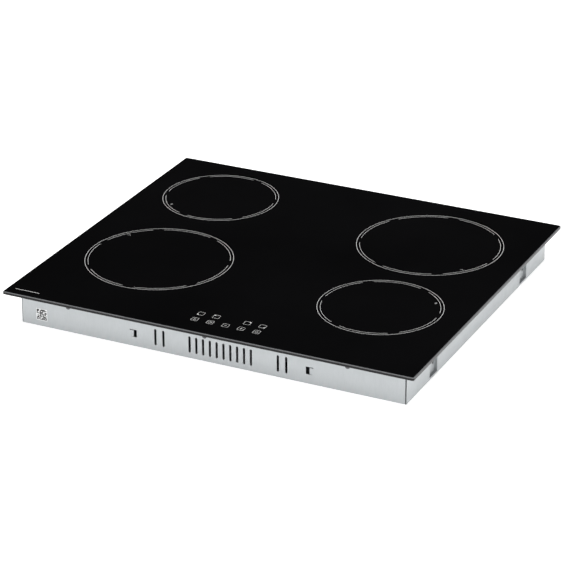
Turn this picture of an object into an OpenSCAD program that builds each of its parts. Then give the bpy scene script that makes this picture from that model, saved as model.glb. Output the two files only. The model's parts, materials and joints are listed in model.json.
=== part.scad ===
// Built-in hob with four radiant zones: a glass-ceramic plate on a folded steel casing,
// spring-loaded heaters, touch control, power electronics and a mains terminal box.
// Millimetres. The origin is the middle of the underside, +X right, +Y rear, +Z up.

/* [Glass plate] */
// Width of the glass plate
glass_w = 590; // [588:1:600]
// Depth of the glass plate
glass_d = 520; // [518:1:530]
// Thickness of the glass plate
glass_t = 4; // [4:0.1:5]
// Corner radius of the glass plate
glass_corner_r = 3; // [2:0.5:10]
// Height and width of the bevel along the top edge
glass_bevel = 1; // [0.5:0.1:1.6]

/* [Casing] */
// Height from the underside of the casing to the top of the glass
total_h = 50; // [50:0.5:54]
// Width of the casing
case_w = 556; // [554:1:558]
// Depth of the casing
case_d = 486; // [485:1:488]
// Distance of the casing's centre behind the glass plate's centre
case_y = 2; // [1:0.5:3]
// Thickness of the casing's sheet steel
sheet_t = 0.8; // [0.6:0.1:1]
// Outer radius of the folds along the casing's floor
fold_r = 1.6; // [1.2:0.1:2.4]
// Width of the open seams at the casing's corners
seam_gap = 1.2; // [0.8:0.1:2]
// Side of the notches in the glass frame's legs at its corners
frame_notch = 6; // [4:1:10]

/* [Front wall] */
// X position that the vents, the windows and the touch keys are centred on
control_x = 17.7; // [10:0.1:24]
// Width of one vent slot
vent_w = 3.3; // [2:0.1:3.5]
// Height of one vent slot
vent_h = 23; // [18:1:26]
// Height of the vent slots' middle above the underside
vent_z = 20; // [18:1:22]
// Distance between the vent slots of the middle group
vent_pitch = 9.8; // [8:0.1:11]
// Side of the square windows
window_s = 10.4; // [8:0.2:12]
// Distance of the windows from the middle of the vents
window_dx = 126.8; // [120:0.2:130]
// Angle that the windows' tongues are bent inwards by
tongue_bend = 8; // [2:1:20]

/* [Side pockets] */
// Distance of the pockets from the casing's centre, front and rear
pocket_y = 157.3; // [155:0.1:160]
// Width of a pocket
pocket_w = 24.6; // [20:0.2:28]
// Depth of a pocket
pocket_d = 4; // [2:0.5:4.5]
// Radius of the fixing hole in a pocket
pocket_hole_r = 2.2; // [1.5:0.1:2.5]

/* [Heaters] */
// Radius of the large heaters' pans
large_pan_r = 106.5; // [104:0.5:107]
// Radius of the small heaters' pans
small_pan_r = 88.5; // [86:0.5:90]
// Height of a heater from its pan's floor to the glass
heater_h = 25; // [24:0.5:26]

/* [Mains connection] */
// Radius of the cable bush's bore
cable_r = 5.5; // [4.5:0.5:6]
// Radius of the terminal cover's hinge pins
hinge_pin_r = 1.2; // [1:0.1:1.4]

/* [Hidden] */
$fn = 48;
eps = 0.01;

// Heights
glass_z = total_h - glass_t;
bond_t = 0.8;
frame_z = glass_z - bond_t;

// Casing walls
case_x1 = case_w / 2;
case_y0 = case_y - case_d / 2;
case_y1 = case_y + case_d / 2;
pocket_z = 3.6;
pocket_ys = [case_y - pocket_y, case_y + pocket_y];
pocket_hole_dy = 7;
pocket_hole_z = 17;
screw_r = 1.5;
screw_z = 37.4;
clearance = 0.05;
head_seat = 0.05;
front_screw_xs = [-205.5, -4, 197.5];
rear_screw_xs = [-205.5, 197.5];
side_screw_ys = [case_y - 100, case_y + 100];
side_pair_dx = 88.2;
side_pair_half = 5.9;
window_z = 19;
tongue_l = 5.6;
tongue_top_gap = 1.3;
side_wall_setback = 1;
bead_xs = [-228, 228];
bead_ys = [-150, 0, 150];
bead_w = 14;
bead_l = 90;
bead_h = 2.4;
floor_vent_y = -209;
floor_vent_l = 30;
board_vent_ys = [-12, 60];
board_vent_l = 40;
label_x = -247;
label_z = 17.4;
label_s = 16.6;
label_t = 0.2;
seal_inset = 3;
seal_w = 8;
seal_h = 1.2;
bond_w = 5;
frame_t = 1;
frame_leg_h = 13;
frame_flange_w = 8;

// Zones: centre x, centre y, pan radius, direction of the limiter's head
RL = [-179, 146, small_pan_r, 0];
FL = [-157.5, -78.5, large_pan_r, 0];
RR = [155.5, 121, large_pan_r, 180];
FR = [175, -90, small_pan_r, 180];
ZONES = [RL, FL, RR, FR];
pan_t = 0.6;
pan_z = glass_z - heater_h;
pan_top = glass_z - 2.5;
base_z = pan_z + 12;
rim_w = 9;
rod_z = glass_z - 6;
rod_r = 2.2;
strip_t = 0.6;
strip_h = 4.2;
strip_pitch = 9;
strip_gap = 7.3;
head_l = 26;
head_w = 24;
head_h = 17;
head_z = glass_z - 19;
tab_l = 8;

// Support bars and the springs on them
bar_w = 20;
bar_top = 7.4;
bar_l = 428;
bar_xs = [(RL[0] + FL[0]) / 2, (RR[0] + FR[0]) / 2];
bar_ear = 12;
bar_sheet = 1;
spring_w = 16;
spring_t = 0.8;
rivet_r = 1.6;
rivet_x = 70;

// Touch control
key_pitch = 22.2;
key_ys = [-208, -226];
pad_r = 4;
display_h = 7;
carrier_w = 134;
carrier_y0 = -232;
carrier_y1 = -188;
carrier_z = 30.4;
carrier_t = 1.6;
control_board_z = glass_z - 9.6;
board_t = 1.6;
control_board_top = control_board_z + board_t;
carrier_foot_y = -212;
carrier_foot_w = 20;
carrier_foot_t = 2;
cable_x = control_x - 20.7;
cable_w = 14;
shield_y = -185;
shield_w = 158;
shield_t = 0.8;
shield_top = 43;

// Power board
power_w = 88;
power_y0 = -48;
power_y1 = 96;
power_z = 14;
power_top = power_z + board_t;
standoffs = [for (sx = [-1, 1], y = [power_y0 + 5, power_y1 - 5]) [sx * (power_w / 2 - 5), y]];
tab_top = power_top + 8;
wire_r = 1.3;
wire_sides = 8;

// Terminal box
box_x0 = -60;
box_x1 = 42;
box_y0 = 190;
box_y1 = case_y1 - sheet_t;
box_z0 = 2.4;
box_z1 = 35.8;
box_t = 2;
flange_y = box_y1 - box_t;
mouth_x0 = box_x0 + 3.5;
mouth_x1 = box_x1 - 3;
mouth_z1 = 33.4;
collar_y = case_y1 + 0.6;
hinge_y = case_y1 + 3.6;
hinge_z = 5.2;
ear_xs = [-50, 12];
bush_x = 28;
bush_z = 20;
bush_r = cable_r + 2.5;
mouth_inner_x1 = bush_x - bush_r - 3;
cover_y = collar_y + 0.4;
cover_t = 2;
hook_x = 3.9;
pin_l = 7.4;
block_y0 = 206;
block_y1 = 226;
block_x0 = -50;
block_top = 30;
poles = 6;
pole_pitch = 9.6;
clamp_x0 = 16;
clamp_x1 = 39.8;
clamp_y = 226.5;
clamp_w = 9;
clamp_screw_dx = 9;
pole_screw_z = 23;
earth_pos = [-74, 180];

function cosine_rise(s) = (1 - cos(180 * s)) / 2;

function unit(v) = v / norm(v);

// Points of a curve from a towards b and on towards c that starts and ends at d from b
function rounded_corner(a, b, c, d) = [for (k = [0:4])
    let (s = k / 4, p = b + d * unit(a - b), q = b + d * unit(c - b))
        (1 - s) * (1 - s) * p + 2 * s * (1 - s) * b + s * s * q];

function rounded_route(points, d) = concat([points[0]],
    [for (i = [1:len(points) - 2]) each rounded_corner(points[i - 1], points[i], points[i + 1], d)],
    [points[len(points) - 1]]);

// Side vectors along a route, each turned as little as possible from the one before
function carried_sides(along, i, before) =
    let (side = unit(before - (before * along[i]) * along[i]))
        i == len(along) - 1 ? [side] : concat([side], carried_sides(along, i + 1, side));

// ---------- shared shapes ----------

// A rounded rectangle, centred
module rounded_rect(w, d, r) {
    square([w - 2 * r, d], center = true);
    square([w, d - 2 * r], center = true);
    for (sx = [-1, 1], sy = [-1, 1])
        translate([sx * (w / 2 - r), sy * (d / 2 - r)]) circle(r);
}

// A slot with round ends along Y, centred
module obround(w, l) {
    square([w, l - w], center = true);
    for (s = [-1, 1]) translate([0, s * (l - w) / 2]) circle(w / 2);
}

// A flat ring of rectangular outline, between z and z + h
module rect_ring(w, d, band, z, h) {
    translate([0, 0, z]) linear_extrude(h) difference() {
        square([w, d], center = true);
        square([w - 2 * band, d - 2 * band], center = true);
    }
}

// A box from its lowest corner to its highest
module block(p, q) {
    translate(p) cube(q - p);
}

// A wire of radius r through the points, its corners rounded over the distance d
module wire(points, r = wire_r, d = 4) {
    path = rounded_route(points, d);
    last = len(path) - 1;
    along = [for (i = [0:last]) unit(path[min(i + 1, last)] - path[max(i - 1, 0)])];
    across = carried_sides(along, 0, [0, 0, 1]);
    rings = [for (i = [0:last], k = [0:wire_sides - 1])
        path[i] + r * (cos(k * 360 / wire_sides) * across[i]
            + sin(k * 360 / wire_sides) * cross(along[i], across[i]))];
    skin = [for (i = [0:last - 1], k = [0:wire_sides - 1])
        let (n = (k + 1) % wire_sides, o = i * wire_sides, q = o + wire_sides)
            each [[o + k, q + k, q + n], [o + k, q + n, o + n]]];
    ends = [[for (k = [0:wire_sides - 1]) k],
        [for (k = [wire_sides - 1:-1:0]) last * wire_sides + k]];
    polyhedron(rings, concat(skin, ends));
}

// A pan-head screw along Z with its head upwards, the head's seat at z = 0
module screw(r, l, head_r, head_h) {
    translate([0, 0, -l]) cylinder(h = l, r = r);
    difference() {
        cylinder(h = head_h, r = head_r);
        for (a = [0, 90]) rotate(a) translate([-head_r * 0.6, -0.35, head_h * 0.45])
            cube([head_r * 1.2, 0.7, head_h]);
    }
}

// ---------- glass plate and its frame ----------

module glass_top() {
    slab_h = glass_t - glass_bevel;
    inner_r = glass_corner_r - glass_bevel;
    run_w = glass_w - 2 * glass_corner_r;
    run_d = glass_d - 2 * glass_corner_r;
    color([0.05, 0.05, 0.055]) translate([0, 0, glass_z]) {
        linear_extrude(slab_h) rounded_rect(glass_w, glass_d, glass_corner_r);
        translate([0, 0, slab_h]) {
            linear_extrude(glass_bevel)
                rounded_rect(glass_w - 2 * glass_bevel, glass_d - 2 * glass_bevel, inner_r);
            for (sx = [-1, 1], sy = [-1, 1])
                translate([sx * run_w / 2, sy * run_d / 2])
                    cylinder(h = glass_bevel, r1 = glass_corner_r, r2 = inner_r);
            for (k = [0:3]) rotate(90 * k)
                bevel_run(k % 2 == 0 ? run_w : run_d, k % 2 == 0 ? glass_d : glass_w);
        }
    }
}

// The bevel's wedge along one side of the plate
module bevel_run(l, across) {
    translate([0, -across / 2, 0]) rotate([90, 0, 90]) linear_extrude(l, center = true)
        polygon([[0, 0], [glass_bevel, 0], [glass_bevel, glass_bevel]]);
}

module worktop_seal() {
    color([0.12, 0.12, 0.12]) rect_ring(glass_w - 2 * seal_inset, glass_d - 2 * seal_inset,
        seal_w, glass_z - seal_h, seal_h);
}

module glass_bond() {
    color([0.25, 0.25, 0.25]) translate([0, case_y, 0])
        rect_ring(case_w - 6, case_d - 6, bond_w, frame_z, bond_t);
}

module glass_frame() {
    frame_w = case_w - 2 * sheet_t - 0.4;
    frame_d = case_d - 2 * sheet_t - 0.4;
    leg_z = frame_z - frame_leg_h;
    pocket_back = case_x1 - pocket_d - sheet_t - 0.3;
    color([0.6, 0.62, 0.64]) difference() {
        translate([0, case_y, 0]) {
            rect_ring(frame_w, frame_d, frame_t, leg_z, frame_leg_h);
            rect_ring(frame_w, frame_d, frame_flange_w, frame_z - frame_t, frame_t);
        }
        for (s = [-1, 1], y = pocket_ys)
            translate([s * (pocket_back + frame_notch), y, frame_z])
                cube([2 * frame_notch, pocket_w + 3, 3 * frame_leg_h], center = true);
        for (sx = [-1, 1], sy = [-1, 1])
            translate([sx * frame_w / 2, case_y + sy * frame_d / 2, leg_z])
                cube([2 * frame_notch, 2 * frame_notch, 2 * (frame_leg_h - frame_t)],
                    center = true);
        block([box_x0 - 2, case_y1 - 3, 0], [box_x1 + 2, case_y1, box_z1 + 1]);
        screw_holes(screw_r + clearance);
    }
}

// Round holes through the walls where the casing is screwed to the frame
module screw_holes(r) {
    for (x = front_screw_xs)
        translate([x, case_y0 + 3, screw_z]) rotate([90, 0, 0]) cylinder(h = 8, r = r);
    for (x = rear_screw_xs)
        translate([x, case_y1 - 3, screw_z]) rotate([-90, 0, 0]) cylinder(h = 8, r = r);
    for (s = [-1, 1], y = side_screw_ys)
        translate([s * (case_x1 - 3), y, screw_z]) rotate([0, s * 90, 0]) cylinder(h = 8, r = r);
}

// ---------- casing ----------

module tray() {
    color([0.78, 0.79, 0.8]) difference() {
        union() {
            block([-case_x1 + fold_r, case_y0 + fold_r, 0],
                [case_x1 - fold_r, case_y1 - fold_r, sheet_t]);
            translate([0, case_y, 0]) for (k = [0:3]) rotate(90 * k)
                wall(k % 2 == 0 ? case_w - 2 * (sheet_t + seam_gap) : case_d - 2 * side_wall_setback,
                    k % 2 == 0 ? case_d : case_w);
            for (s = [-1, 1], y = pocket_ys) pocket_shell(s, y);
            for (x = bead_xs, y = bead_ys) translate([x, y, 0]) bead();
        }
        for (s = [-1, 1], y = pocket_ys) pocket_void(s, y);
        for (x = bead_xs, y = bead_ys) translate([x, y, 0]) bead_void();
        front_vents();
        for (s = [-1, 1]) translate([control_x + s * window_dx, case_y0, window_z])
            cube([window_s, 4, window_s], center = true);
        floor_vents();
        screw_holes(screw_r + clearance);
        floor_holes();
        block([mouth_x0 - 0.2, case_y1 - 3, box_z0 - 0.2], [mouth_x1 + 0.2, case_y1 + 1, mouth_z1]);
    }
    color([0.78, 0.79, 0.8]) for (s = [-1, 1]) window_tongue(s);
}

// One folded-up wall on the -Y side: its fold and its upright, l long
module wall(l, across) {
    translate([0, -across / 2, 0]) rotate([90, 0, 90]) linear_extrude(l, center = true) {
        translate([fold_r, fold_r]) intersection() {
            difference() {
                circle(fold_r);
                circle(fold_r - sheet_t);
            }
            translate([-fold_r, -fold_r]) square(fold_r);
        }
        translate([0, fold_r - eps]) square([sheet_t, frame_z - fold_r + eps]);
    }
}

// The pressed-in pocket of a side wall, as a solid block and the void in it
module pocket_shell(s, y) {
    x_in = case_x1 - pocket_d - sheet_t;
    translate([s * (x_in + case_x1) / 2, y, (pocket_z - sheet_t + frame_z) / 2])
        cube([case_x1 - x_in, pocket_w + 2 * sheet_t, frame_z - pocket_z + sheet_t],
            center = true);
}

module pocket_void(s, y) {
    translate([s * (case_x1 - pocket_d), y - pocket_w / 2, pocket_z])
        mirror([s < 0 ? 1 : 0, 0, 0]) cube([pocket_d + 1, pocket_w, total_h]);
    translate([s * (case_x1 - pocket_d), y + pocket_hole_dy, pocket_hole_z])
        rotate([0, 90, 0]) cylinder(h = 4, r = pocket_hole_r, center = true);
}

// A stiffening bead pressed up from the floor
module bead() {
    linear_extrude(bead_h + sheet_t) obround(bead_w, bead_l);
}

module bead_void() {
    translate([0, 0, -1]) linear_extrude(bead_h + 1)
        obround(bead_w - 2 * sheet_t, bead_l - 2 * sheet_t);
}

module front_slot(x) {
    translate([x, case_y0 + 2, vent_z]) rotate([90, 0, 0]) linear_extrude(4)
        obround(vent_w, vent_h);
}

module front_vents() {
    for (i = [-4.5:4.5]) front_slot(control_x + i * vent_pitch);
    for (s = [-1, 1], p = [-1, 1])
        front_slot(control_x + s * side_pair_dx + p * side_pair_half);
}

// The tongue that is lanced out of a window and bent inwards from its outer side
module window_tongue(s) {
    translate([control_x + s * (window_dx + window_s / 2 + 0.1), case_y0, window_z - window_s / 2])
        mirror([s > 0 ? 1 : 0, 0, 0]) rotate(tongue_bend)
            cube([tongue_l, sheet_t, window_s - tongue_top_gap]);
}

module floor_vents() {
    for (i = [-4.5:4.5]) floor_slot(control_x + i * vent_pitch, floor_vent_y, floor_vent_l);
    for (i = [-3.5:3.5], y = board_vent_ys) floor_slot(i * vent_pitch, y, board_vent_l);
}

module floor_slot(x, y, l) {
    translate([x, y, -1]) linear_extrude(3) obround(vent_w, l);
}

// Holes in the floor for rivets and screws
module floor_holes() {
    for (x = bar_xs, s = [-1, 1]) floor_hole([x, bar_ear_y(s)], rivet_r + clearance);
    for (s = [-1, 1]) floor_hole(shield_rivet(s), rivet_r + clearance);
    for (s = [-1, 1]) floor_hole(carrier_foot(s), screw_r + clearance);
    floor_hole(earth_pos, 2.1);
}

module floor_hole(p, r) {
    translate([p[0], p[1], -1]) cylinder(h = 4, r = r);
}

module tray_screws() {
    color([0.35, 0.35, 0.36]) {
        for (x = front_screw_xs) translate([x, case_y0 - head_seat, screw_z]) rotate([90, 0, 0])
            casing_screw();
        for (x = rear_screw_xs) translate([x, case_y1 + head_seat, screw_z]) rotate([-90, 0, 0])
            casing_screw();
        for (s = [-1, 1], y = side_screw_ys)
            translate([s * (case_x1 + head_seat), y, screw_z]) rotate([0, s * 90, 0])
                casing_screw();
    }
}

module casing_screw() {
    screw(screw_r, 6, 3.4, 1.6);
}

module front_label() {
    h = label_s / 2;
    color("white") block([label_x - h, case_y0 - label_t, label_z - h],
        [label_x + h, case_y0, label_z + h]);
}

// ---------- heater supports ----------

function bar_ear_y(s) = case_y + s * (bar_l + bar_ear) / 2;

module support_bars() {
    inner = bar_w / 2 - bar_sheet;
    color([0.65, 0.66, 0.67]) for (x = bar_xs) difference() {
        union() {
            block([x - bar_w / 2, case_y - bar_l / 2, sheet_t],
                [x + bar_w / 2, case_y + bar_l / 2, bar_top]);
            block([x - bar_w / 2, case_y - bar_l / 2 - bar_ear, sheet_t],
                [x + bar_w / 2, case_y + bar_l / 2 + bar_ear, sheet_t + bar_sheet]);
        }
        block([x - inner, case_y - bar_l / 2 + bar_sheet, 0],
            [x + inner, case_y + bar_l / 2 - bar_sheet, bar_top - bar_sheet]);
        for (s = [-1, 1]) floor_hole([x, bar_ear_y(s)], rivet_r + clearance);
        for (z = ZONES) translate([x, z[1], 0]) cylinder(h = 9, r = rivet_r + clearance);
    }
}

// Leaf spring between a support bar and a heater's pan, across the zone at p
module heater_spring(p) {
    flat = 22;
    reach = 50;
    pad = 58;
    rise = pan_z - bar_top - spring_t;
    bar_x = p[0] < 0 ? bar_xs[0] : bar_xs[1];
    half = concat([for (i = [0:10]) [flat + (reach - flat) * i / 10, rise * cosine_rise(i / 10)]],
        [[pad, rise]]);
    right_down = [for (i = [len(half) - 1:-1:0]) half[i]];
    low = concat([for (q = right_down) [-q[0], q[1]]], half);
    high = [for (i = [len(low) - 1:-1:0]) [low[i][0], low[i][1] + spring_t]];
    color([0.5, 0.5, 0.52]) difference() {
        translate([p[0], p[1] + spring_w / 2, bar_top]) rotate([90, 0, 0])
            linear_extrude(spring_w) polygon(concat(low, high));
        translate([bar_x, p[1], bar_top - 1]) cylinder(h = 3, r = rivet_r + clearance);
    }
}

// One rivet, with its head's seat at z = 0
module rivet(l) {
    translate([0, 0, -l]) cylinder(h = l, r = rivet_r);
    rotate_extrude() polygon([[0, 0], [3, 0], [2.6, 0.8], [1.6, 1.1], [0, 1.1]]);
}

module rivets() {
    color([0.7, 0.7, 0.7]) {
        for (x = bar_xs, s = [-1, 1])
            translate([x, bar_ear_y(s), sheet_t + bar_sheet]) rivet(sheet_t + 0.9);
        for (s = [-1, 1])
            translate([shield_rivet(s)[0], shield_rivet(s)[1], sheet_t + shield_t])
                rivet(sheet_t + 0.7);
        for (z = ZONES)
            translate([z[0] < 0 ? bar_xs[0] : bar_xs[1], z[1], bar_top + spring_t]) rivet(3);
    }
}

// ---------- heaters ----------

// Moves its children to a zone's centre, turned so that +X points at the limiter's head
module at_zone(zone) {
    translate([zone[0], zone[1], 0]) rotate(zone[3]) children();
}

module heater_pan(zone) {
    r = zone[2];
    color([0.72, 0.73, 0.74]) at_zone(zone) difference() {
        translate([0, 0, pan_z]) cylinder(h = pan_top - pan_z, r = r, $fn = 96);
        translate([0, 0, pan_z + pan_t]) cylinder(h = heater_h, r = r - pan_t, $fn = 96);
        translate([r - 5, 0, rod_z]) rotate([0, 90, 0]) cylinder(h = 8, r = rod_r + 0.3);
    }
}

module heater_base(zone) {
    r = zone[2] - pan_t - 0.05;
    color([0.93, 0.91, 0.86]) at_zone(zone)
        translate([0, 0, pan_z + pan_t]) cylinder(h = base_z - pan_z - pan_t, r = r, $fn = 96);
}

module heater_rim(zone) {
    r = zone[2] - pan_t - 0.05;
    color([0.95, 0.94, 0.9]) at_zone(zone) difference() {
        translate([0, 0, base_z]) cylinder(h = glass_z - base_z, r = r, $fn = 96);
        translate([0, 0, base_z - 1]) cylinder(h = heater_h, r = r - rim_w, $fn = 96);
        translate([0, 0, rod_z]) rotate([0, 90, 0])
            cylinder(h = 3 * r, r = rod_r + 0.3, center = true);
    }
}

// Resistance strip on edge: open rings joined end to end on alternate sides
module heater_ribbon(zone) {
    r_out = zone[2] - 16;
    n = floor((r_out - 20) / strip_pitch);
    color([0.3, 0.27, 0.25]) at_zone(zone) translate([0, 0, base_z]) {
        for (i = [0:n]) open_ring(r_out - i * strip_pitch);
        for (i = [0:n - 1]) strip_link(r_out - i * strip_pitch, i % 2 == 0 ? 1 : -1);
    }
}

// Angle that a length takes up along a circle of radius r
function arc_angle(l, r) = 180 * l / (PI * r);

module open_ring(r) {
    a = arc_angle(strip_gap, r);
    rotate(a) rotate_extrude(angle = 360 - 2 * a, $fn = 96)
        translate([r - strip_t / 2, 0]) square([strip_t, strip_h]);
}

// The short stretch from one ring of the strip to the next ring inwards
module strip_link(r, side) {
    a = side * arc_angle(strip_gap + 1.5, r);
    b = side * arc_angle(strip_gap + 1.5, r - strip_pitch);
    p = [r * cos(a), r * sin(a)];
    q = [(r - strip_pitch) * cos(b), (r - strip_pitch) * sin(b)];
    run = q - p;
    translate([p[0], p[1], 0]) rotate(atan2(run[1], run[0]))
        translate([0, -strip_t / 2, 0]) cube([norm(run), strip_t, strip_h]);
}

// Rod thermostat: the rod over the strip, its ceramic head outside the pan, and the tabs
module heater_limiter(zone) {
    r = zone[2];
    head_x = r + 0.4;
    color([0.88, 0.86, 0.8]) at_zone(zone) {
        translate([-r + 4, 0, rod_z]) rotate([0, 90, 0]) cylinder(h = r + head_x - 3, r = rod_r);
        difference() {
            translate([head_x, -head_w / 2, head_z]) cube([head_l, head_w, head_h]);
            for (s = [-1, 1]) translate([head_x + 5, s * head_w / 2, head_z - 1])
                cylinder(h = head_h + 2, r = 2.2);
        }
    }
    color([0.8, 0.78, 0.6]) at_zone(zone)
        for (s = [-1, 1], h = [5, 12])
            translate([head_x + head_l - eps, s * 6.5 - 3.15, head_z + h - 0.4])
                cube([tab_l, 6.3, 0.8]);
}

// ---------- touch control ----------

function carrier_foot(s) = [control_x + s * (carrier_w / 2 + 7), carrier_foot_y];

module control_carrier() {
    x0 = control_x - carrier_w / 2;
    x1 = control_x + carrier_w / 2;
    seat_z = control_board_z - carrier_z;
    color([0.2, 0.2, 0.21]) {
        difference() {
            block([x0, carrier_y0, carrier_z], [x1, carrier_y1, control_board_z + 3]);
            block([x0 + carrier_t, carrier_y0 + carrier_t, carrier_z + carrier_t],
                [x1 - carrier_t, carrier_y1 - carrier_t, glass_z]);
            block([cable_x - 3, carrier_y1 - 4, carrier_z + carrier_t],
                [cable_x + cable_w + 3, carrier_y1 + 1, glass_z]);
        }
        for (x = [x0 + 5, x1 - 5], y = [carrier_y0 + 5, carrier_y1 - 5])
            translate([x, y, carrier_z + eps]) cylinder(h = seat_z - eps, r = 3);
        for (s = [-1, 1]) carrier_leg(s);
    }
}

// A leg of the carrier, down to a foot that is screwed to the casing's floor
module carrier_leg(s) {
    edge_x = control_x + s * carrier_w / 2;
    difference() {
        translate([edge_x, carrier_foot_y, sheet_t]) mirror([s < 0 ? 1 : 0, 0, 0]) {
            translate([-8, -carrier_foot_w / 2, 0])
                cube([8, carrier_foot_w, carrier_z - sheet_t + eps]);
            translate([-8, -carrier_foot_w / 2, 0])
                cube([21, carrier_foot_w, carrier_foot_t]);
        }
        floor_hole(carrier_foot(s), screw_r + clearance);
    }
}

module carrier_screws() {
    color([0.7, 0.7, 0.7]) for (s = [-1, 1])
        translate([carrier_foot(s)[0], carrier_foot(s)[1], sheet_t + carrier_foot_t + head_seat])
            screw(screw_r, 2.7, 3, 1.8);
}

module control_board() {
    inset = carrier_t + 0.2;
    color([0.1, 0.35, 0.2]) block(
        [control_x - carrier_w / 2 + inset, carrier_y0 + inset, control_board_z],
        [control_x + carrier_w / 2 - inset, carrier_y1 - inset, control_board_top]);
}

// Foam contact pads: four zone keys in the rear row and five keys in the front row
module touch_pads() {
    color([0.15, 0.15, 0.15]) for (row = [0, 1], i = [-2:2]) if (row == 1 || i != 0)
        translate([control_x + i * key_pitch, key_ys[row], control_board_top])
            cylinder(h = glass_z - control_board_top, r = pad_r);
}

// A digit behind each zone key and a wider one for the timer in the gap between them
module led_displays() {
    color([0.85, 0.85, 0.85]) {
        for (i = [-2, -1, 1, 2]) display([control_x + i * key_pitch, -196.5], [10, 8]);
        display([control_x, -208], [17, 11]);
    }
}

module display(p, size) {
    translate([p[0] - size[0] / 2, p[1] - size[1] / 2, control_board_top])
        cube([size[0], size[1], display_h]);
}

// Surface-mounted chips on the underside of the touch control's board
module control_chips() {
    color([0.1, 0.1, 0.1]) {
        chip([control_x, -207], [12, 12, 1.6]);
        for (dx = [-48, -28, 22, 42]) chip([control_x + dx, -214], [10, 4, 1.8]);
    }
}

module chip(p, size) {
    translate([p[0] - size[0] / 2, p[1] - size[1] / 2, control_board_z - size[2]]) cube(size);
}

module buzzer() {
    h = 4.2;
    color([0.12, 0.12, 0.12]) translate([control_x + 50, -202, control_board_z - h]) difference() {
        cylinder(h = h, r = 6);
        translate([0, 0, -1]) cylinder(h = 2.2, r = 1);
    }
}

function shield_rivet(s) = [control_x + s * rivet_x, shield_y + 6];

// Wall of sheet steel that keeps the heaters' warmth off the touch control
module control_shield() {
    x0 = control_x - shield_w / 2;
    x1 = control_x + shield_w / 2;
    color([0.7, 0.71, 0.72]) difference() {
        union() {
            block([x0, shield_y, sheet_t], [x1, shield_y + shield_t, shield_top]);
            block([x0, shield_y, sheet_t], [x1, shield_y + 12, sheet_t + shield_t]);
        }
        block([cable_x - 3, shield_y - 1, 32], [cable_x + cable_w + 3, shield_y + 2, 40]);
        for (s = [-1, 1]) floor_hole(shield_rivet(s), rivet_r + clearance);
    }
}

// Flat cable from the touch control through the shield and down to the power board
module ribbon_cable() {
    x0 = cable_x;
    x1 = cable_x + cable_w;
    z_hi = control_board_z - 1.4;
    z_lo = power_top + 0.2;
    bend_y = shield_y + 7;
    color([0.75, 0.75, 0.78]) {
        block([x0, carrier_y1 - 10, z_hi - 1], [x1, bend_y + 1, z_hi]);
        block([x0, bend_y, z_lo], [x1, bend_y + 1, z_hi]);
        block([x0, bend_y, z_lo], [x1, power_y0 + 6, z_lo + 1]);
        block([x0, carrier_y1 - 10, z_hi], [x1, carrier_y1 - 6, control_board_z]);
    }
}

// ---------- power electronics ----------

module power_board() {
    color([0.55, 0.42, 0.2]) difference() {
        block([-power_w / 2, power_y0, power_z], [power_w / 2, power_y1, power_top]);
        for (p = standoffs) translate([p[0], p[1], power_z - 1]) cylinder(h = 4, r = 1.7);
    }
}

module board_standoffs() {
    color([0.9, 0.9, 0.88]) for (p = standoffs) translate([p[0], p[1], sheet_t]) {
        cylinder(h = power_z - sheet_t, r = 3.5);
        cylinder(h = power_top + 2 - sheet_t, r = 1.65);
        translate([0, 0, power_top + 0.4 - sheet_t]) cylinder(h = 1.6, r1 = 2.3, r2 = 1.2);
    }
}

module relays() {
    color([0.15, 0.25, 0.5]) for (i = [0:4])
        block([14, -22 + 20 * i, power_top], [33, -6.5 + 20 * i, power_top + 15.5]);
}

module transformer() {
    color([0.35, 0.3, 0.25]) {
        block([-36, 44, power_top], [-6, 72, power_top + 20]);
        block([-31, 38, power_top + 4], [-11, 78, power_top + 24]);
    }
}

module capacitors() {
    color([0.2, 0.25, 0.4]) {
        for (y = [2, 18]) translate([-16, y, power_top]) cylinder(h = 18, r = 6);
        block([-36, -16, power_top], [-26, 14, power_top + 16]);
    }
}

// Push-on tabs: two for each heater and two for the mains
function board_tab_pos(i) = [
    [-38, 84], [-30, 84], [-38, -36], [-30, -36], [34, 84], [26, 84], [34, -36], [26, -36],
    [-8, 86], [2, 86]][i];

module board_tabs() {
    color([0.8, 0.78, 0.6]) for (i = [0:9])
        translate([board_tab_pos(i)[0] - 0.4, board_tab_pos(i)[1] - 3.15, power_top])
            cube([0.8, 6.3, tab_top - power_top]);
}

// Two wires from each heater's head to its tabs; they stop just short of both
module heater_wiring() {
    color([0.75, 0.2, 0.15]) for (h = [0:3], k = [0, 1]) {
        zone = ZONES[h];
        dir = zone[3] == 0 ? 1 : -1;
        tab = board_tab_pos(2 * h + k);
        far = zone[1] > 0 ? k == 1 : k == 0;
        x0 = zone[0] + dir * (zone[2] + 0.4 + head_l + tab_l + 0.6);
        y0 = zone[1] + (k == 0 ? -6.5 : 6.5);
        z0 = head_z + (k == 0 ? 12 : 5);
        wire([[x0, y0, z0], [x0 + dir * (far ? 16 : 5), y0, z0], [tab[0], tab[1], z0],
            [tab[0], tab[1], tab_top + 0.4]]);
    }
}

module mains_wiring() {
    color([0.3, 0.3, 0.35]) for (k = [0, 1]) {
        tab = board_tab_pos(8 + k);
        x0 = tab[0] - 8 + 6 * k;
        wire([[x0, block_y0 - 0.3, 16], [x0, 130, 16], [tab[0], 104, 30],
            [tab[0], tab[1], 30], [tab[0], tab[1], tab_top + 0.4]]);
    }
    color([0.3, 0.6, 0.2]) wire([[-45, block_y0 - 0.3, 14], [-45, 184, 14],
        [earth_pos[0], earth_pos[1] - 5, 12], [earth_pos[0], earth_pos[1] - 5, 5.9]]);
}

// ---------- mains connection ----------

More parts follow.
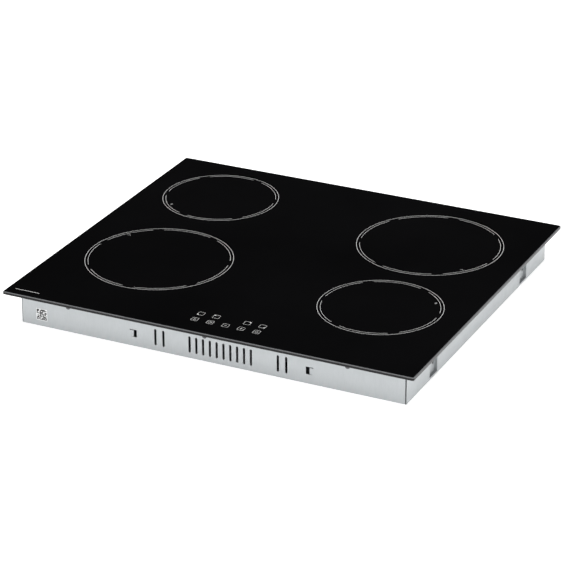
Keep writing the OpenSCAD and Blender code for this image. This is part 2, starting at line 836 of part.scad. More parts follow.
// The box's body, open towards the rear, where the flange closes it
module terminal_box() {
    color([0.16, 0.16, 0.17]) difference() {
        block([box_x0, box_y0, box_z0], [box_x1, flange_y, box_z1]);
        block([box_x0 + box_t, box_y0 + box_t, box_z0 + box_t],
            [box_x1 - box_t, case_y1, box_z1 - box_t]);
        block([-48, box_y0 - 1, 10], [6, box_y0 + 3, 20]);
    }
}

// Rear wall of the box, its collar in the casing's opening, and the ears of the hinge
module terminal_flange() {
    color([0.2, 0.2, 0.21]) difference() {
        union() {
            block([box_x0, flange_y, box_z0], [box_x1, box_y1, box_z1]);
            block([mouth_x0, box_y1 - eps, box_z0], [mouth_x1, collar_y, mouth_z1 - 0.2]);
            for (x = ear_xs) hinge_ear(x);
        }
        block([mouth_x0 + 2, flange_y - 1, hinge_z + 4.2],
            [mouth_inner_x1, collar_y + 1, mouth_z1 - 2]);
        translate([bush_x, collar_y + 1, bush_z]) rotate([90, 0, 0]) cylinder(h = 9, r = bush_r);
        for (x = ear_xs) translate([x, hinge_y, hinge_z]) rotate([0, 90, 0])
            cylinder(h = 9, r = hinge_pin_r + 0.08, center = true);
    }
}

// An ear of the flange that a hinge pin turns in
module hinge_ear(x) {
    translate([x, hinge_y, hinge_z]) rotate([0, 90, 0]) cylinder(h = 4, r = 2.6, center = true);
    block([x - 2, box_y1, hinge_z - 2.6], [x + 2, hinge_y, hinge_z + 2.6]);
}

module terminal_cover() {
    x0 = mouth_x0 + 0.5;
    x1 = mouth_inner_x1 + 0.8;
    top = mouth_z1 - 0.6;
    grip_x = (x0 + x1) / 2;
    color([0.18, 0.18, 0.19]) {
        block([x0, cover_y, hinge_z + 3.2], [x1, cover_y + cover_t, top]);
        block([grip_x - 9, cover_y, top - 1], [grip_x + 9, cover_y + cover_t, top + 2.2]);
        for (i = [0:4]) block([grip_x - 8, cover_y + cover_t - eps, top - 10 + 2 * i],
            [grip_x + 8, cover_y + cover_t + 0.6, top - 9 + 2 * i]);
        cover_hook(ear_xs[0], 1);
        cover_hook(ear_xs[1], -1);
    }
}

// A hook of the cover beside the ear at x, on its side s, with the pin that enters the ear
module cover_hook(x, s) {
    hook = x + s * hook_x;
    translate([hook, hinge_y, hinge_z]) rotate([0, 90, 0]) cylinder(h = 3, r = 2.3, center = true);
    block([hook - 1.5, cover_y, hinge_z], [hook + 1.5, cover_y + cover_t, hinge_z + 4]);
    translate([hook + s * 1.5, hinge_y, hinge_z]) rotate([0, -s * 90, 0])
        cylinder(h = pin_l, r = hinge_pin_r);
}

module terminal_block() {
    color([0.9, 0.9, 0.87]) difference() {
        block([block_x0, block_y0, box_z0 + box_t],
            [block_x0 + poles * pole_pitch, block_y1, block_top]);
        for (i = [0:poles - 1]) translate([pole_x(i), block_y1 + 4, 0]) rotate([90, 0, 0]) {
            translate([0, pole_screw_z, 0]) cylinder(h = 12, r = 3.4);
            translate([0, 12, 0]) cylinder(h = 16, r = 3);
        }
        for (i = [1:poles - 1]) translate([block_x0 + i * pole_pitch - 0.6, block_y1 - 6, 7])
            cube([1.2, 20, 40]);
    }
}

function pole_x(i) = block_x0 + (i + 0.5) * pole_pitch;

module terminal_screws() {
    color([0.8, 0.75, 0.45]) for (i = [0:poles - 1])
        translate([pole_x(i), block_y1 - 5.5, pole_screw_z]) rotate([-90, 0, 0])
            screw(2, 2.4, 3.2, 2.4);
}

// Lower and upper half of the strain relief behind the bush
module cable_clamp() {
    y0 = clamp_y - clamp_w / 2;
    y1 = clamp_y + clamp_w / 2;
    color([0.85, 0.85, 0.82]) difference() {
        union() {
            block([clamp_x0, y0, box_z0 + box_t], [clamp_x1, y1, bush_z - 2]);
            block([clamp_x0, y0, bush_z + 1], [clamp_x1, y1, bush_z + 9]);
        }
        translate([bush_x, y1 + 1, bush_z]) rotate([90, 0, 0])
            cylinder(h = clamp_w + 2, r = cable_r + 0.3);
        for (s = [-1, 1]) translate([bush_x + s * clamp_screw_dx, clamp_y, 8])
            cylinder(h = 40, r = 1.65);
    }
}

module clamp_screws() {
    color([0.7, 0.7, 0.7]) for (s = [-1, 1])
        translate([bush_x + s * clamp_screw_dx, clamp_y, bush_z + 9 + head_seat])
            screw(1.6, 20, 2.6, 1.6);
}

// Rubber bush in the flange, with its bore for the mains cable
module cable_bush() {
    rim_r = bush_r + 1.6;
    core_l = collar_y - flange_y + 4;
    color([0.1, 0.1, 0.1]) translate([bush_x, flange_y - 2, bush_z]) rotate([-90, 0, 0])
        difference() {
            union() {
                cylinder(h = 2, r = rim_r);
                cylinder(h = core_l, r = bush_r - clearance);
                translate([0, 0, core_l - 2]) cylinder(h = 2, r = rim_r);
            }
            translate([0, 0, -1]) cylinder(h = core_l + 2, r = cable_r);
        }
}

// Earth stud with its nut and the ring terminal of the earth wire
module earth_screw() {
    color([0.8, 0.75, 0.45]) translate([earth_pos[0], earth_pos[1], 0]) {
        translate([0, 0, 0.1]) cylinder(h = 9, r = 2);
        translate([0, 0, sheet_t]) cylinder(h = 3.2, r = 4, $fn = 6);
        translate([-4, -9.5, 4.1]) cube([8, 13, 1]);
    }
}

glass_top();
worktop_seal();
glass_bond();
glass_frame();
tray();
tray_screws();
front_label();
support_bars();
rivets();
heater_spring(RL);  // heater_spring_rl
heater_spring(FL);  // heater_spring_fl
heater_spring(RR);  // heater_spring_rr
heater_spring(FR);  // heater_spring_fr
heater_pan(RL);  // heater_pan_rl
heater_pan(FL);  // heater_pan_fl
heater_pan(RR);  // heater_pan_rr
heater_pan(FR);  // heater_pan_fr
heater_base(RL);  // heater_base_rl
heater_base(FL);  // heater_base_fl
heater_base(RR);  // heater_base_rr
heater_base(FR);  // heater_base_fr
heater_rim(RL);  // heater_rim_rl
heater_rim(FL);  // heater_rim_fl
heater_rim(RR);  // heater_rim_rr
heater_rim(FR);  // heater_rim_fr
heater_ribbon(RL);  // heater_ribbon_rl
heater_ribbon(FL);  // heater_ribbon_fl
heater_ribbon(RR);  // heater_ribbon_rr
heater_ribbon(FR);  // heater_ribbon_fr
heater_limiter(RL);  // heater_limiter_rl
heater_limiter(FL);  // heater_limiter_fl
heater_limiter(RR);  // heater_limiter_rr
heater_limiter(FR);  // heater_limiter_fr
control_carrier();
carrier_screws();
control_board();
touch_pads();
led_displays();
control_chips();
buzzer();
control_shield();
ribbon_cable();
power_board();
board_standoffs();
relays();
transformer();
capacitors();
board_tabs();
heater_wiring();
mains_wiring();
terminal_box();
terminal_flange();
terminal_block();
terminal_screws();
cable_clamp();
clamp_screws();
cable_bush();
earth_screw();
terminal_cover();
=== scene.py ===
import json
import math
import random

import bmesh
import bpy
from mathutils import Matrix, Vector


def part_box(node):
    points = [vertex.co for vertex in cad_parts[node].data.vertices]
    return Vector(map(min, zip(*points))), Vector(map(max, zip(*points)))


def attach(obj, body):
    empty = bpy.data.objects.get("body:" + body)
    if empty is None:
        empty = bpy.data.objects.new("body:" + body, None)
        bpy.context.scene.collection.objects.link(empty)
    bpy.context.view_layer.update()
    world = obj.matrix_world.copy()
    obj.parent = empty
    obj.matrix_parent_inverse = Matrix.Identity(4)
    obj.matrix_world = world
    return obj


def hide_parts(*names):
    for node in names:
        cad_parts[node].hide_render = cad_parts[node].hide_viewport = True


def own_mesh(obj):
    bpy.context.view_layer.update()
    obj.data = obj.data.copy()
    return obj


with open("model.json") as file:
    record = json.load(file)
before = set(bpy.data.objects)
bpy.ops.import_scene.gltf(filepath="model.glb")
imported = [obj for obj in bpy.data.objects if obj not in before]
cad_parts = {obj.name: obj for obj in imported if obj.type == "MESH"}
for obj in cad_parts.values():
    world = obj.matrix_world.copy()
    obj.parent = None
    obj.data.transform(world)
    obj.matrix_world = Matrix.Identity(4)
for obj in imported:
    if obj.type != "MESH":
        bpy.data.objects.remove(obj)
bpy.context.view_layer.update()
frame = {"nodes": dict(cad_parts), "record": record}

MM = 0.001
NODES = frame["nodes"]
ZONES = ("rl", "fl", "rr", "fr")


def add_object(name, data):
    """Puts a new object into the scene."""
    thing = bpy.data.objects.new(name, data)
    bpy.context.scene.collection.objects.link(thing)
    return thing


# ---------- camera ----------

CAMERA_AZIMUTH = math.radians(26.0)
CAMERA_ELEVATION = math.radians(24.79)
CAMERA_DISTANCE = 3.5
CAMERA_ROLL = math.radians(-0.24)
CAMERA_LENS = 165.8
CAMERA_SENSOR = 36.0
CAMERA_REACH = 60.0
CAMERA_AIM = Vector((0.0013, -0.027, 0.0256))


def add_camera():
    """A long lens from front right and above, aimed close to the hob's middle."""
    towards = Vector((
        -math.sin(CAMERA_AZIMUTH) * math.cos(CAMERA_ELEVATION),
        math.cos(CAMERA_AZIMUTH) * math.cos(CAMERA_ELEVATION),
        -math.sin(CAMERA_ELEVATION),
    ))
    data = bpy.data.cameras.new("camera")
    data.lens = CAMERA_LENS
    data.sensor_width = CAMERA_SENSOR
    data.clip_end = CAMERA_REACH
    camera = add_object("camera", data)
    turn = towards.to_track_quat("-Z", "Y").to_matrix().to_4x4()
    camera.matrix_world = (
        Matrix.Translation(CAMERA_AIM - CAMERA_DISTANCE * towards)
        @ turn @ Matrix.Rotation(CAMERA_ROLL, 4, "Z")
    )
    bpy.context.scene.camera = camera


# ---------- materials ----------

# Most of a noise's values lie between these two.
NOISE_LOW = 0.3
NOISE_HIGH = 0.7
NOISE_ROUGHNESS = 0.55


def principled(name, color, roughness, metallic=0.0):
    """A new material and its shader, with even values set on the shader's own sockets."""
    material = bpy.data.materials.new(name)
    material.use_nodes = True
    shader = material.node_tree.nodes["Principled BSDF"]
    shader.inputs["Base Color"].default_value = (*color, 1.0)
    shader.inputs["Roughness"].default_value = roughness
    shader.inputs["Metallic"].default_value = metallic
    return material, shader


def shade(color, factor):
    return tuple(min(1.0, c * factor) for c in color)


class Graph:
    """Short ways to add the nodes that the materials below share."""

    def __init__(self, material, shader):
        self.tree = material.node_tree
        self.shader = shader
        self.coords = self.add("ShaderNodeTexCoord").outputs["Object"]

    def add(self, kind, **values):
        node = self.tree.nodes.new(kind)
        for key, value in values.items():
            setattr(node, key, value)
        return node

    def link(self, start, end):
        self.tree.links.new(start, end)

    def drive(self, socket, value):
        """Feeds a socket of the material's shader."""
        self.link(value, self.shader.inputs[socket])

    def noise(self, scale, detail=4.0, stretch=(1, 1, 1)):
        mapping = self.add("ShaderNodeMapping")
        mapping.inputs["Scale"].default_value = stretch
        self.link(self.coords, mapping.inputs["Vector"])
        node = self.add("ShaderNodeTexNoise")
        node.inputs["Scale"].default_value = scale
        node.inputs["Detail"].default_value = detail
        node.inputs["Roughness"].default_value = NOISE_ROUGHNESS
        self.link(mapping.outputs["Vector"], node.inputs["Vector"])
        return node.outputs["Fac"]

    def cells(self, scale):
        node = self.add("ShaderNodeTexVoronoi")
        node.inputs["Scale"].default_value = scale
        self.link(self.coords, node.inputs["Vector"])
        return node

    def ramp(self, fac, stops):
        node = self.add("ShaderNodeValToRGB")
        ramp = node.color_ramp
        while len(ramp.elements) < len(stops):
            ramp.elements.new(0.5)
        for element, (place, color) in zip(ramp.elements, stops):
            element.position = place
            element.color = (*color, 1.0)
        self.link(fac, node.inputs["Fac"])
        return node.outputs["Color"]

    def tones(self, fac, color, dark, light, start=NOISE_LOW, end=NOISE_HIGH):
        """Runs from a darker to a lighter shade of a colour."""
        return self.ramp(fac, [(start, shade(color, dark)), (end, shade(color, light))])

    def span(self, fac, low, high, start=NOISE_LOW, end=NOISE_HIGH):
        """Stretches the values from start to end over low to high."""
        node = self.add("ShaderNodeMapRange")
        node.inputs["From Min"].default_value = start
        node.inputs["From Max"].default_value = end
        node.inputs["To Min"].default_value = low
        node.inputs["To Max"].default_value = high
        self.link(fac, node.inputs["Value"])
        return node.outputs["Result"]

    def math(self, operation, a, b):
        node = self.add("ShaderNodeMath", operation=operation)
        for socket, value in zip(node.inputs, (a, b)):
            if isinstance(value, (int, float)):
                socket.default_value = value
            else:
                self.link(value, socket)
        return node.outputs["Value"]

    def mix(self, fac, a, b):
        node = self.add("ShaderNodeMix", data_type="RGBA")
        self.link(fac, node.inputs["Factor"])
        self.link(a, node.inputs["A"])
        self.link(b, node.inputs["B"])
        return node.outputs["Result"]

    def bump(self, height, distance, strength=1.0):
        node = self.add("ShaderNodeBump")
        node.inputs["Distance"].default_value = distance
        node.inputs["Strength"].default_value = strength
        self.link(height, node.inputs["Height"])
        self.drive("Normal", node.outputs["Normal"])


GLASS_COLOR = (0.001, 0.001, 0.0011)
GLASS_ROUGHNESS = 0.06
GLASS_IOR = 1.5
GLASS_SPECULAR = 0.25
FACE_TONES = [(0.3, (0.0006, 0.0006, 0.0007)), (0.75, (0.0016, 0.0016, 0.0018))]
SMEAR_ROUGHNESS = (0.045, 0.10)
# A bevel is where the surface's normal points up by more than the first and less than the second.
BEVEL_UP = (0.35, 0.96)
BEVEL_TONES = [(0.35, (0.09, 0.092, 0.095)), (0.7, (0.15, 0.153, 0.158))]
BEVEL_ROUGHNESS = 0.28


def glass(name):
    """Black glass-ceramic: a polished face, faint smears, and a ground grey bevel."""
    material, shader = principled(name, GLASS_COLOR, GLASS_ROUGHNESS)
    shader.inputs["IOR"].default_value = GLASS_IOR
    shader.inputs["Specular IOR Level"].default_value = GLASS_SPECULAR
    g = Graph(material, shader)
    parts = g.add("ShaderNodeSeparateXYZ")
    g.link(g.add("ShaderNodeNewGeometry").outputs["True Normal"], parts.inputs["Vector"])
    above = g.math("GREATER_THAN", parts.outputs["Z"], BEVEL_UP[0])
    below = g.math("LESS_THAN", parts.outputs["Z"], BEVEL_UP[1])
    bevel = g.math("MULTIPLY", above, below)
    ground = g.ramp(g.noise(900.0, 3.0), BEVEL_TONES)
    face = g.ramp(g.noise(5.0, 3.0), FACE_TONES)
    g.drive("Base Color", g.mix(bevel, face, ground))
    smears = g.span(g.noise(14.0, 5.0, (1, 2.2, 1)), *SMEAR_ROUGHNESS, 0.3, 0.75)
    g.drive("Roughness", g.math("ADD", smears, g.math("MULTIPLY", bevel, BEVEL_ROUGHNESS)))
    return material


def screen_print(name, color):
    """Grey screen print fired onto the glass, with the faint dots of its mesh."""
    material, shader = principled(name, color, 0.5)
    g = Graph(material, shader)
    g.drive("Base Color", g.tones(g.noise(2600.0, 2.0), color, 0.86, 1.14))
    return material


SHEET_METALLIC = 0.55
SPANGLE_SCALE = 95.0
ROLLING_STRETCH = (1.0, 0.06, 0.06)
ROLLING_TONE = 0.035
CLOUD_TONE = 0.04
CLOUD_ROUGHNESS = 0.05
SHEET_CONTRAST = 0.12


def sheet_steel(name, color, roughness, spangle):
    """Zinc-coated sheet: soft cloudy patches, crystal spangle and a fine rolling grain."""
    material, shader = principled(name, color, roughness, SHEET_METALLIC)
    g = Graph(material, shader)
    crystal = g.math("MULTIPLY", g.cells(SPANGLE_SCALE).outputs["Color"], spangle)
    cloud = g.span(g.noise(9.0, 5.0), -CLOUD_TONE, CLOUD_TONE)
    grain = g.noise(1500.0, 2.0, ROLLING_STRETCH)
    rolled = g.span(grain, -ROLLING_TONE, ROLLING_TONE)
    tone = g.math("ADD", g.math("ADD", cloud, rolled), crystal)
    even = g.span(tone, 0.0, 1.0, -SHEET_CONTRAST, SHEET_CONTRAST + spangle)
    g.drive("Base Color", g.ramp(even, [
        (0.0, shade(color, 0.86)), (0.5, color), (1.0, shade(color, 1.1))]))
    dull = g.span(cloud, -CLOUD_ROUGHNESS, CLOUD_ROUGHNESS, -CLOUD_TONE, CLOUD_TONE)
    g.drive("Roughness", g.math("ADD", dull, roughness))
    g.bump(grain, 0.03 * MM, 0.5)
    return material


def bright_metal(name, color, roughness, metallic=1.0):
    """Plated or plain metal with fine turning marks and slight tarnish."""
    material, shader = principled(name, color, roughness, metallic)
    g = Graph(material, shader)
    tarnish = g.noise(160.0, 4.0)
    g.drive("Base Color", g.tones(tarnish, color, 0.8, 1.06, 0.3, 0.65))
    g.drive("Roughness", g.span(tarnish, roughness - 0.07, roughness + 0.1))
    g.bump(g.noise(2400.0, 2.0, (1, 1, 0.1)), 0.02 * MM, 0.5)
    return material


def moulded(name, color, roughness, grain=1300.0, depth=0.06 * MM):
    """Moulded plastic with a fine eroded texture."""
    material, shader = principled(name, color, roughness)
    g = Graph(material, shader)
    g.drive("Base Color", g.tones(g.noise(30.0, 3.0), color, 0.88, 1.12))
    texture = g.noise(grain, 3.0)
    g.drive("Roughness", g.span(texture, roughness - 0.06, roughness + 0.08))
    g.bump(texture, depth, 0.7)
    return material


def cellular(name, color, cell, depth):
    """Foam, fibre or rubber: a matte surface broken by small cells."""
    material, shader = principled(name, color, 0.9)
    g = Graph(material, shader)
    distance = g.cells(cell).outputs["Distance"]
    mottle = g.math("MULTIPLY", distance, g.noise(cell * 0.4, 3.0))
    g.drive("Base Color", g.tones(mottle, color, 0.8, 1.15, 0.0, 0.5))
    g.drive("Roughness", g.span(mottle, 0.8, 0.98, 0.0, 1.0))
    g.bump(mottle, depth)
    return material


def circuit_board(name, color, copper):
    """Laminate under solder resist, with a faint raster of copper tracks."""
    material, shader = principled(name, color, 0.35)
    g = Graph(material, shader)
    tracks = g.add("ShaderNodeTexBrick")
    tracks.inputs["Scale"].default_value = 120.0
    tracks.inputs["Mortar Size"].default_value = 0.035
    tracks.inputs["Color1"].default_value = (*color, 1.0)
    tracks.inputs["Color2"].default_value = (*shade(color, 0.8), 1.0)
    tracks.inputs["Mortar"].default_value = (*copper, 1.0)
    g.link(g.coords, tracks.inputs["Vector"])
    g.drive("Base Color", tracks.outputs["Color"])
    g.drive("Roughness", g.span(tracks.outputs["Fac"], 0.32, 0.5, 0.0, 1.0))
    return material


# Each of the record's slots, with its kind of surface and that kind's own values.
SLOTS = {
    "black_glass": (glass,),
    "foam_seal": (cellular, (0.022, 0.022, 0.023), 1600.0, 0.2 * MM),
    "silicone": (moulded, (0.10, 0.10, 0.10), 0.45, 400.0),
    "frame_steel": (sheet_steel, (0.60, 0.62, 0.63), 0.42, 0.05),
    "casing_steel": (sheet_steel, (0.435, 0.455, 0.465), 0.44, 0.03),
    "dark_screw": (bright_metal, (0.10, 0.10, 0.105), 0.4, 0.8),
    "label_film": (moulded, (0.80, 0.81, 0.81), 0.4, 600.0, 0.01 * MM),
    "zinc_fastener": (bright_metal, (0.66, 0.67, 0.68), 0.3),
    "spring_steel": (bright_metal, (0.36, 0.36, 0.38), 0.32),
    "pan_steel": (sheet_steel, (0.62, 0.63, 0.64), 0.4, 0.04),
    "insulation": (cellular, (0.80, 0.77, 0.70), 500.0, 0.5 * MM),
    "insulation_rim": (cellular, (0.86, 0.84, 0.79), 420.0, 0.5 * MM),
    "heating_strip": (bright_metal, (0.16, 0.13, 0.115), 0.6, 0.7),
    "limiter_ceramic": (cellular, (0.78, 0.75, 0.66), 900.0, 0.1 * MM),
    "dark_plastic": (moulded, (0.030, 0.030, 0.033), 0.5),
    "cover_plastic": (moulded, (0.036, 0.036, 0.040), 0.46),
    "circuit_board": (circuit_board, (0.02, 0.13, 0.05), (0.05, 0.22, 0.09)),
    "power_circuit_board": (circuit_board, (0.30, 0.19, 0.075), (0.42, 0.28, 0.12)),
    "contact_foam": (cellular, (0.04, 0.04, 0.04), 1800.0, 0.1 * MM),
    "display_plastic": (moulded, (0.68, 0.68, 0.66), 0.3),
    "chip_plastic": (moulded, (0.016, 0.016, 0.017), 0.5, 3000.0),
    "ribbon_plastic": (moulded, (0.48, 0.49, 0.53), 0.35),
    "nylon": (moulded, (0.76, 0.76, 0.71), 0.42),
    "relay_plastic": (moulded, (0.02, 0.06, 0.26), 0.3),
    "transformer_core": (moulded, (0.10, 0.07, 0.05), 0.4),
    "capacitor_sleeve": (moulded, (0.03, 0.055, 0.17), 0.25),
    "tinned_brass": (bright_metal, (0.70, 0.62, 0.38), 0.3),
    "red_wire": (moulded, (0.40, 0.02, 0.015), 0.38),
    "grey_wire": (moulded, (0.16, 0.16, 0.19), 0.38),
    "bush_rubber": (moulded, (0.018, 0.018, 0.018), 0.6),
}


def make_materials():
    return {slot: kind(slot, *values) for slot, (kind, *values) in SLOTS.items()}


def dress_nodes(materials):
    """Gives each CAD node the material of its slot in the record."""
    for row in frame["record"]["subparts"]:
        mesh = NODES[row["node"]].data
        mesh.materials.clear()
        mesh.materials.append(materials[row["material_slot"]])


# ---------- leaf springs ----------


def add_springs(material):
    """Leaf springs under the heaters, copied into pieces of their own that ride on the hob."""
    for name in ZONES:
        node = "heater_spring_" + name
        mesh = NODES[node].data.copy()
        mesh.materials.clear()
        mesh.materials.append(material)
        spring = add_object("leaf_spring_" + name, mesh)
        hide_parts(node)
        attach(spring, "hob")
        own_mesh(spring)


# ---------- flat prints ----------

PRINT_H = 0.02 * MM
ARC_STEP = 3
DISC_SIDES = 20


class Print:
    """Collects flat shapes with a small thickness and makes one closed-solid mesh of them."""

    def __init__(self, name, place):
        self.name = name
        self.place = place
        self.bm = bmesh.new()

    def shape(self, outline):
        """A thin prism over an outline of (x, y) points in metres, counter-clockwise."""
        low = [self.bm.verts.new((x, y, 0)) for x, y in outline]
        high = [self.bm.verts.new((x, y, PRINT_H)) for x, y in outline]
        self.bm.faces.new(list(reversed(low)))
        self.bm.faces.new(high)
        count = len(outline)
        for i in range(count):
            j = (i + 1) % count
            self.bm.faces.new((low[i], low[j], high[j], high[i]))

    def band(self, centre, radius, width, start=0.0, end=360.0):
        """A stretch of a circular line, its angles in degrees."""
        steps = max(4, round((end - start) / ARC_STEP))
        angles = [math.radians(start + (end - start) * i / steps) for i in range(steps + 1)]
        rims = (radius + width / 2, radius - width / 2)
        closed = end - start >= 360.0
        rows = []
        for angle in angles[:-1] if closed else angles:
            row = []
            for rim in rims:
                x = centre[0] + rim * math.cos(angle)
                y = centre[1] + rim * math.sin(angle)
                row += [self.bm.verts.new((x, y, z)) for z in (0, PRINT_H)]
            rows.append(row)
        following = rows[1:] + rows[:1] if closed else rows[1:]
        for a, b in zip(rows, following):
            for i, j in ((0, 1), (1, 3), (3, 2), (2, 0)):
                self.bm.faces.new((a[i], b[i], b[j], a[j]))
        if not closed:
            first, last = rows[0], rows[-1]
            self.bm.faces.new((first[0], first[1], first[3], first[2]))
            self.bm.faces.new((last[0], last[2], last[3], last[1]))

    def disc(self, centre, radius):
        angles = [math.tau * i / DISC_SIDES for i in range(DISC_SIDES)]
        self.shape([(centre[0] + radius * math.cos(a), centre[1] + radius * math.sin(a))
            for a in angles])

    def bar(self, a, b, width):
        """A straight line from a to b."""
        along = Vector((b[0] - a[0], b[1] - a[1])).normalized() * width / 2
        side = Vector((-along.y, along.x))
        a, b = Vector(a), Vector(b)
        self.shape([tuple(p) for p in (a - side, b - side, b + side, a + side)])

    def rounded_square(self, centre, size, radius, width):
        """A square outline with round corners."""
        half = size / 2 - radius
        edge = size / 2 - width / 2
        for k in range(4):
            turn = math.radians(90 * k)
            run = (math.cos(turn), math.sin(turn))
            out = (-math.sin(turn), math.cos(turn))
            corner = (centre[0] + half * (run[0] + out[0]), centre[1] + half * (run[1] + out[1]))
            self.band(corner, radius - width / 2, width, 90 * k, 90 * k + 90)
            mid = (centre[0] + out[0] * edge, centre[1] + out[1] * edge)
            self.bar((mid[0] - run[0] * half, mid[1] - run[1] * half),
                (mid[0] + run[0] * half, mid[1] + run[1] * half), width)

    def finish(self, material, matrix=None):
        """Turns what was drawn into a piece that rides on the hob."""
        bmesh.ops.recalc_face_normals(self.bm, faces=self.bm.faces)
        mesh = bpy.data.meshes.new(self.name)
        self.bm.to_mesh(mesh)
        self.bm.free()
        if matrix:
            mesh.transform(matrix)
        mesh.transform(Matrix.Translation(self.place))
        mesh.materials.append(material)
        piece = add_object(self.name, mesh)
        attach(piece, "hob")


RING_INSET = 5.8 * MM
RING_LINE = 0.45 * MM
INNER_STEP = 4.3 * MM
INNER_LINE = 0.4 * MM
# Of each broken inner ring: how many arcs, the gap between them and where the first one starts.
ARCS = {"rl": (6, 11.2, 14.5), "fl": (7, 9.2, 16.0), "rr": (7, 9.2, 41.5), "fr": (6, 11.2, 6.0)}

MARK_ANGLES = {"rl": 225, "fl": 145, "rr": 321, "fr": 34}
MARK_INSET = 9.5 * MM
DIAMOND_X = 1.8 * MM
DIAMOND_Y = 3.0 * MM
CARET_FOOT = 2.0 * MM
CARET_TIP = 1.2 * MM
CARET_LINE = 0.9 * MM


def zone_of(name):
    """Centre and radius of a zone's heater pan."""
    low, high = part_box("heater_pan_" + name)
    return ((low.x + high.x) / 2, (low.y + high.y) / 2), (high.y - low.y) / 2


def zone_print(name, material, faint, top):
    """A zone's outer ring, its broken inner ring and its small mark."""
    centre, pan_r = zone_of(name)
    radius = pan_r - RING_INSET
    drawing = Print("zone_print_" + name, Vector((0, 0, top)))
    drawing.band(centre, radius, RING_LINE)
    count, gap, phase = ARCS[name]
    step = 360 / count
    for i in range(count):
        start = phase + i * step + gap / 2
        drawing.band(centre, radius - INNER_STEP, INNER_LINE, start, start + step - gap)
    drawing.finish(material)

    angle = math.radians(MARK_ANGLES[name])
    reach = radius - MARK_INSET
    x = centre[0] + reach * math.cos(angle)
    y = centre[1] + reach * math.sin(angle)
    mark = Print("zone_mark_" + name, Vector((0, 0, top)))
    if name in ("rl", "fr"):
        mark.shape([
            (x, y - DIAMOND_Y), (x + DIAMOND_X, y), (x, y + DIAMOND_Y), (x - DIAMOND_X, y)])
    else:
        for foot in (x - CARET_FOOT, x + CARET_FOOT):
            mark.bar((foot, y - CARET_FOOT), (x, y + CARET_TIP), CARET_LINE)
    mark.finish(faint)


KEY = 9.2 * MM
KEY_CORNER = 1.6 * MM
KEY_LINE = 0.35 * MM
KEY_COLUMNS = 5
KEY_SHIFT = 0.7 * MM
PAD_RADIUS = 4 * MM
DOT_OFFSET = 3.4 * MM
DOT_RADIUS = 1.25 * MM
# The corner of a rear key that its dot is in, by column.
DOTS = {0: (-1, -1), 1: (-1, 1), 3: (1, 1), 4: (1, -1)}


def key_places():
    """Centres of the touch keys' columns and rows, from the foam pads under them."""
    low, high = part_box("touch_pads")
    pitch = (high.x - low.x - 2 * PAD_RADIUS) / (KEY_COLUMNS - 1)
    columns = [low.x + PAD_RADIUS + i * pitch + KEY_SHIFT for i in range(KEY_COLUMNS)]
    return columns, high.y - PAD_RADIUS, low.y + PAD_RADIUS


ICON_LINE = 0.35 * MM
SIGN_LINE = 0.5 * MM
SIGN_REACH = 1.8 * MM


def lock_icon(drawing, x, y):
    drawing.rounded_square((x, y - 0.9 * MM), 2.8 * MM, 0.6 * MM, ICON_LINE)
    drawing.band((x, y + 0.7 * MM), 0.9 * MM, ICON_LINE, 0, 180)


def clock_icon(drawing, x, y):
    drawing.band((x, y), 2.0 * MM, ICON_LINE)
    drawing.bar((x, y - 0.2 * MM), (x, y + 1.3 * MM), ICON_LINE)
    drawing.bar((x, y), (x + 1.0 * MM, y - 0.5 * MM), ICON_LINE)


def minus_icon(drawing, x, y):
    drawing.bar((x - SIGN_REACH, y), (x + SIGN_REACH, y), SIGN_LINE)


def plus_icon(drawing, x, y):
    minus_icon(drawing, x, y)
    drawing.bar((x, y + SIGN_LINE / 2), (x, y + SIGN_REACH), SIGN_LINE)
    drawing.bar((x, y - SIGN_REACH), (x, y - SIGN_LINE / 2), SIGN_LINE)


def power_icon(drawing, x, y):
    drawing.band((x, y - 0.2 * MM), 1.9 * MM, ICON_LINE, 125, 415)
    drawing.bar((x, y + 0.3 * MM), (x, y + 2.4 * MM), ICON_LINE)


def key_print(material, top):
    """Nine key outlines: zone dots in the rear row, generic symbols in the front row."""
    drawing = Print("key_print", Vector((0, 0, top)))
    columns, rear_y, front_y = key_places()
    for column, (sx, sy) in DOTS.items():
        x = columns[column]
        drawing.rounded_square((x, rear_y), KEY, KEY_CORNER, KEY_LINE)
        drawing.disc((x + sx * DOT_OFFSET, rear_y + sy * DOT_OFFSET), DOT_RADIUS)
    icons = (lock_icon, clock_icon, minus_icon, plus_icon, power_icon)
    for x, icon in zip(columns, icons):
        drawing.rounded_square((x, front_y), KEY, KEY_CORNER, KEY_LINE)
        icon(drawing, x, front_y)
    drawing.finish(material)


CORNER_BAR_INSET = (12 * MM, 15 * MM)
CORNER_BAR_LENGTH = 36 * MM
CORNER_BAR_LINE = 0.7 * MM


def corner_print(material, top):
    """A plain bar where makers put their mark at the plate's front left corner."""
    low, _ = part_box("glass_top")
    drawing = Print("corner_print", Vector((0, 0, top)))
    x, y = low.x + CORNER_BAR_INSET[0], low.y + CORNER_BAR_INSET[1]
    drawing.bar((x, y), (x + CORNER_BAR_LENGTH, y), CORNER_BAR_LINE)
    drawing.finish(material)


LABEL_CELLS = 12
LABEL_MARGIN = 0.8 * MM
LABEL_FILL = 0.58
LABEL_ORDER = 7


def label_pattern(material):
    """Rows of small dark cells on the front label, in a made-up order."""
    low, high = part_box("front_label")
    step = (high.x - low.x - 2 * LABEL_MARGIN) / LABEL_CELLS
    drawing = Print("label_pattern", Vector((0, 0, 0)))
    order = random.Random(LABEL_ORDER)
    for row in range(LABEL_CELLS):
        for column in range(LABEL_CELLS):
            if order.random() < LABEL_FILL:
                x = low.x + LABEL_MARGIN + column * step
                y = row * step + LABEL_MARGIN
                drawing.shape([(x, y), (x + step, y), (x + step, y + step), (x, y + step)])
    upright = Matrix.Translation((0, low.y, low.z)) @ Matrix.Rotation(math.radians(90), 4, "X")
    drawing.finish(material, upright)


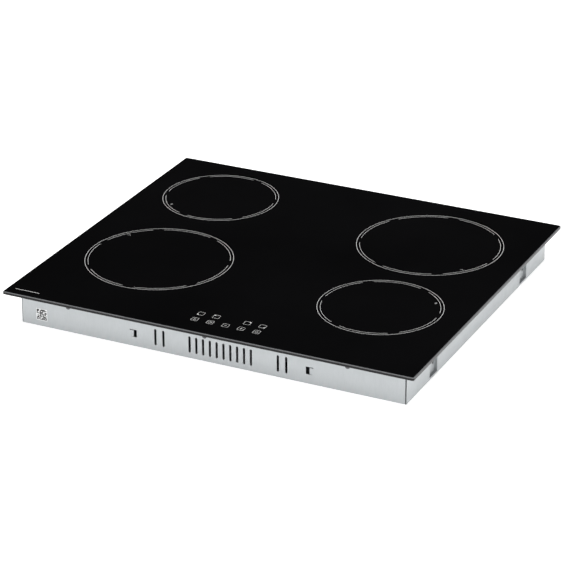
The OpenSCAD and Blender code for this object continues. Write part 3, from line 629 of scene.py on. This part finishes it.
def add_prints():
    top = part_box("glass_top")[1].z
    grey = screen_print("glass_print", (0.72, 0.72, 0.71))
    faint = screen_print("faint_print", (0.22, 0.22, 0.22))
    for name in ZONES:
        zone_print(name, grey, faint, top)
    key_print(grey, top)
    corner_print(grey, top)
    label_pattern(moulded("label_ink", (0.03, 0.03, 0.032), 0.5, 900.0, 0.01 * MM))


# ---------- floor and light ----------

FLOOR_HALF = 3.0
COVERED_X = 0.27
COVERED_Y = 0.235
CENTRE_FACE = 4
FLOOR_COLOR = (0.8, 0.8, 0.8)
FLOOR_GLOW = 0.6
WHITE = (1.0, 1.0, 1.0, 1.0)


def add_floor():
    """A white light table. Under the hob it doesn't glow, so that the vents stay dark."""
    xs = (-FLOOR_HALF, -COVERED_X, COVERED_X, FLOOR_HALF)
    ys = (-FLOOR_HALF, -COVERED_Y, COVERED_Y, FLOOR_HALF)
    corners = [(x, y, 0.0) for y in ys for x in xs]
    faces = [(i, i + 1, i + 5, i + 4) for i in (0, 1, 2, 4, 5, 6, 8, 9, 10)]
    mesh = bpy.data.meshes.new("floor")
    mesh.from_pydata(corners, [], faces)
    floor = add_object("floor", mesh)
    for name, glow in (("floor", FLOOR_GLOW), ("covered_floor", 0.0)):
        material, shader = principled(name, FLOOR_COLOR, 0.9)
        shader.inputs["Specular IOR Level"].default_value = 0.1
        shader.inputs["Emission Color"].default_value = WHITE
        shader.inputs["Emission Strength"].default_value = glow
        mesh.materials.append(material)
    mesh.polygons[CENTRE_FACE].material_index = 1


# Name, place, size in metres and power in watts.
SOFT_LIGHTS = (
    ("overhead", (0.0, 0.0, 4.0), 5.0, 260.0),
    ("front_left", (-1.6, -3.4, 1.8), 2.4, 60.0),
    ("right", (3.4, -1.2, 1.4), 2.4, 80.0),
)
REFLECTED_SURROUND = (0.025, 0.025, 0.026, 1.0)


def soft_light(name, place, size, power):
    """A square soft light aimed at the hob. The glass doesn't mirror it."""
    data = bpy.data.lights.new(name, "AREA")
    data.size = size
    data.energy = power
    light = add_object(name, data)
    light.location = place
    light.rotation_euler = (-Vector(place)).to_track_quat("-Z", "Y").to_euler()
    light.visible_glossy = False


def add_world():
    """A surround that is white to the eye and dark in reflections, so the glass stays black."""
    world = bpy.data.worlds.new("studio")
    world.use_nodes = True
    tree = world.node_tree
    path = tree.nodes.new("ShaderNodeLightPath")
    mix = tree.nodes.new("ShaderNodeMix")
    mix.data_type = "RGBA"
    mix.inputs["A"].default_value = REFLECTED_SURROUND
    mix.inputs["B"].default_value = WHITE
    tree.links.new(path.outputs["Is Camera Ray"], mix.inputs["Factor"])
    tree.links.new(mix.outputs["Result"], tree.nodes["Background"].inputs["Color"])
    bpy.context.scene.world = world


def add_light():
    bpy.context.scene.view_settings.view_transform = "Standard"
    add_world()
    for values in SOFT_LIGHTS:
        soft_light(*values)


add_camera()
materials = make_materials()
dress_nodes(materials)
add_springs(materials["spring_steel"])
add_prints()
add_floor()
add_light()
